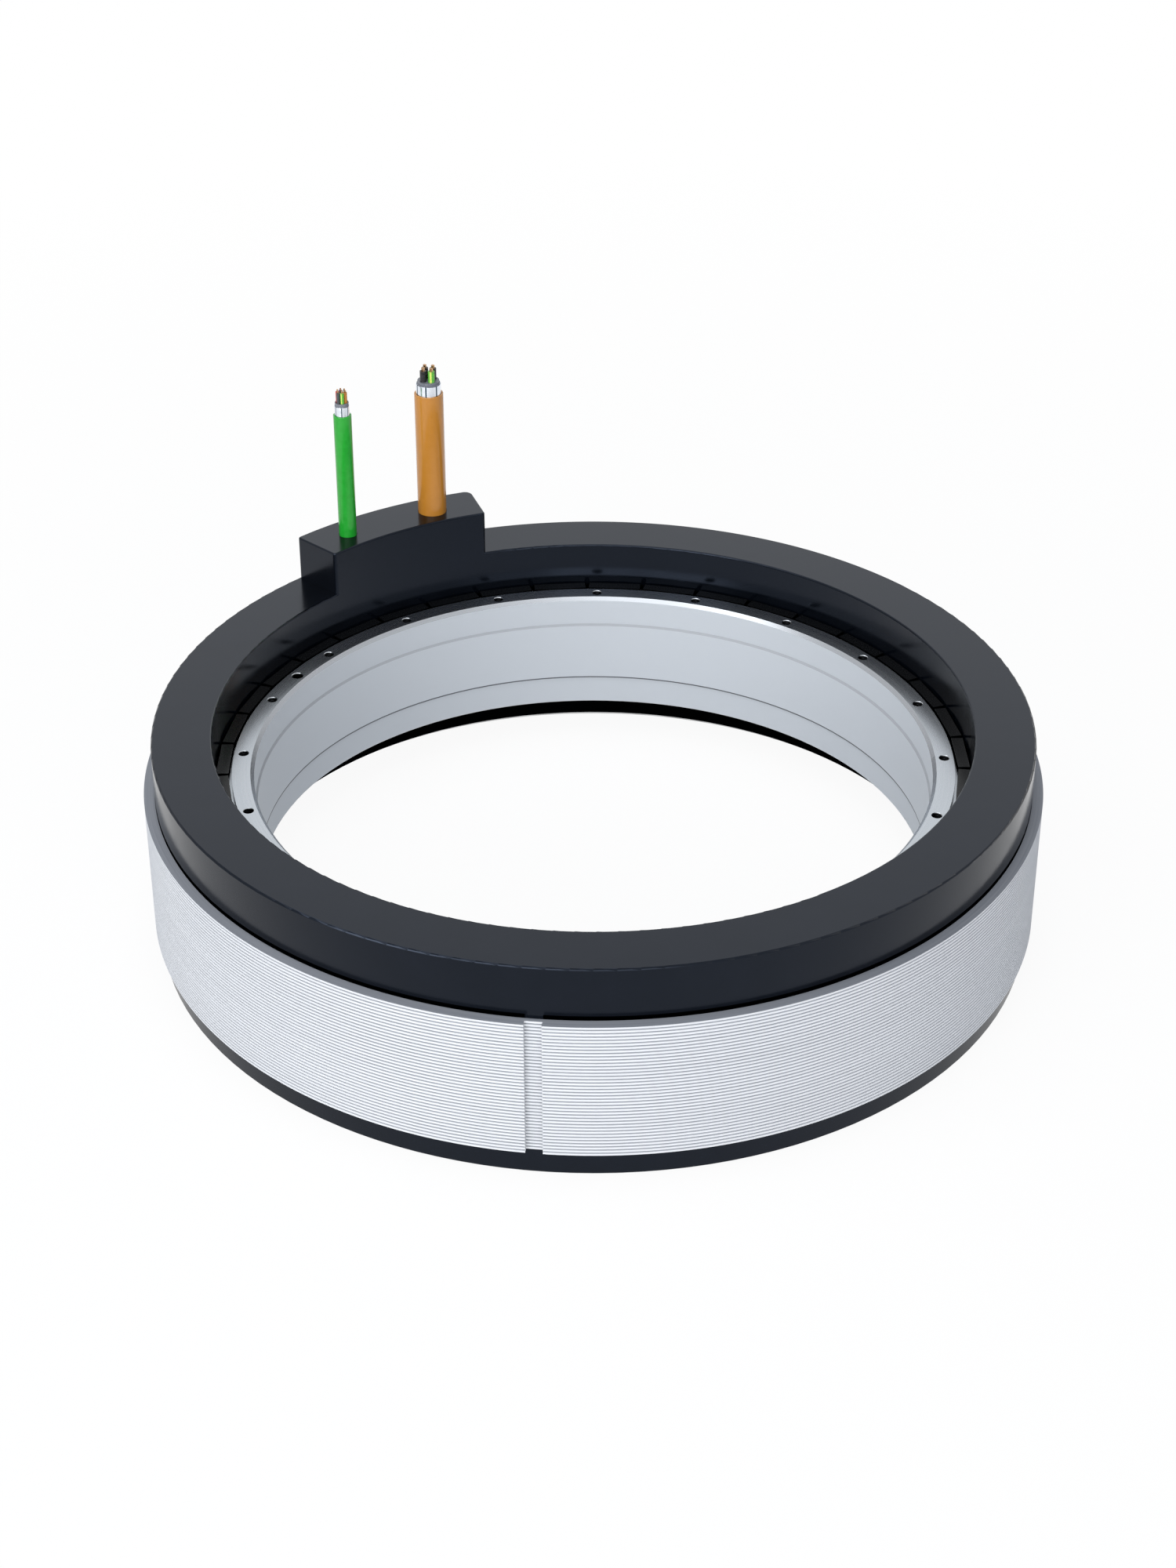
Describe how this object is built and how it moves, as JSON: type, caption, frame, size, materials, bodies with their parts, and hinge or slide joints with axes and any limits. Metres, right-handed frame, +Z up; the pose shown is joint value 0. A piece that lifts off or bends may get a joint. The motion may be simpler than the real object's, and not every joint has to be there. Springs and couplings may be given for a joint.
{
  "type": "frameless motor",
  "caption": "Frameless ring motor: potted stator with a sheet core and upright cable stubs, and a hollow magnet rotor with threaded holes that turns inside it.",
  "frame": {"origin": "centre of the stator's lower face, on the motor's axis", "axes": "+Z up along the motor's axis, towards the side where the cables leave; the outer keyway is 6.8 degrees from -Y, towards -X"},
  "size_m": [0.502, 0.502, 0.247],
  "materials": {
    "sheet_steel": "satin",
    "resin": "gloss",
    "liner_paper": "matt",
    "wedge_laminate": "matt",
    "frame_plastic": "matt",
    "copper_wire": "satin",
    "copper": "satin",
    "carrier_plastic": "matt",
    "board": "satin",
    "sensor": "satin",
    "rotor_steel": "satin",
    "magnet": "satin",
    "jacket_orange": "satin",
    "jacket_green": "satin",
    "screen_foil": "satin",
    "sheath_grey": "matt",
    "core_black": "satin",
    "core_green_yellow": "satin",
    "core_red": "satin",
    "core_brown": "satin",
    "core_white": "satin",
    "core_violet": "satin",
    "core_grey": "satin"
  },
  "bodies": {
    "stator": {"stator_core": "sheet_steel", "slot_liners": "liner_paper", "slot_wedges": "wedge_laminate", "end_frame_top": "frame_plastic", "end_frame_bottom": "frame_plastic", "winding_phase_u": "copper_wire", "winding_phase_v": "copper_wire", "winding_phase_w": "copper_wire", "connection_carrier": "carrier_plastic", "phase_ring_u": "copper", "phase_ring_v": "copper", "phase_ring_w": "copper", "star_ring": "copper", "earth_strip": "copper", "temperature_sensors": "sensor", "sensor_board": "board", "top_potting": "resin", "bottom_potting": "resin", "power_cable_jacket": "jacket_orange", "power_cable_shield": "screen_foil", "power_cable_inner_sheath": "sheath_grey", "power_core_u": "core_black", "power_core_v": "core_black", "power_core_w": "core_black", "power_core_earth": "core_green_yellow", "power_conductors": "copper", "signal_cable_jacket": "jacket_green", "signal_cable_shield": "screen_foil", "signal_cable_inner_sheath": "sheath_grey", "signal_core_red": "core_red", "signal_core_grey": "core_grey", "signal_core_earth": "core_green_yellow", "signal_core_brown": "core_brown", "signal_core_violet": "core_violet", "signal_core_white": "core_white", "signal_core_black": "core_black", "signal_conductors": "copper"},
    "rotor": {"rotor_ring": "rotor_steel", "magnets_north": "magnet", "magnets_south": "magnet"}
  },
  "joints": [
    {"name": "rotor_spin", "type": "hinge", "parent": "stator", "child": "rotor", "pos_m": [0, 0, 0], "axis": [0, 0, 1], "continuous": true}
  ]
}
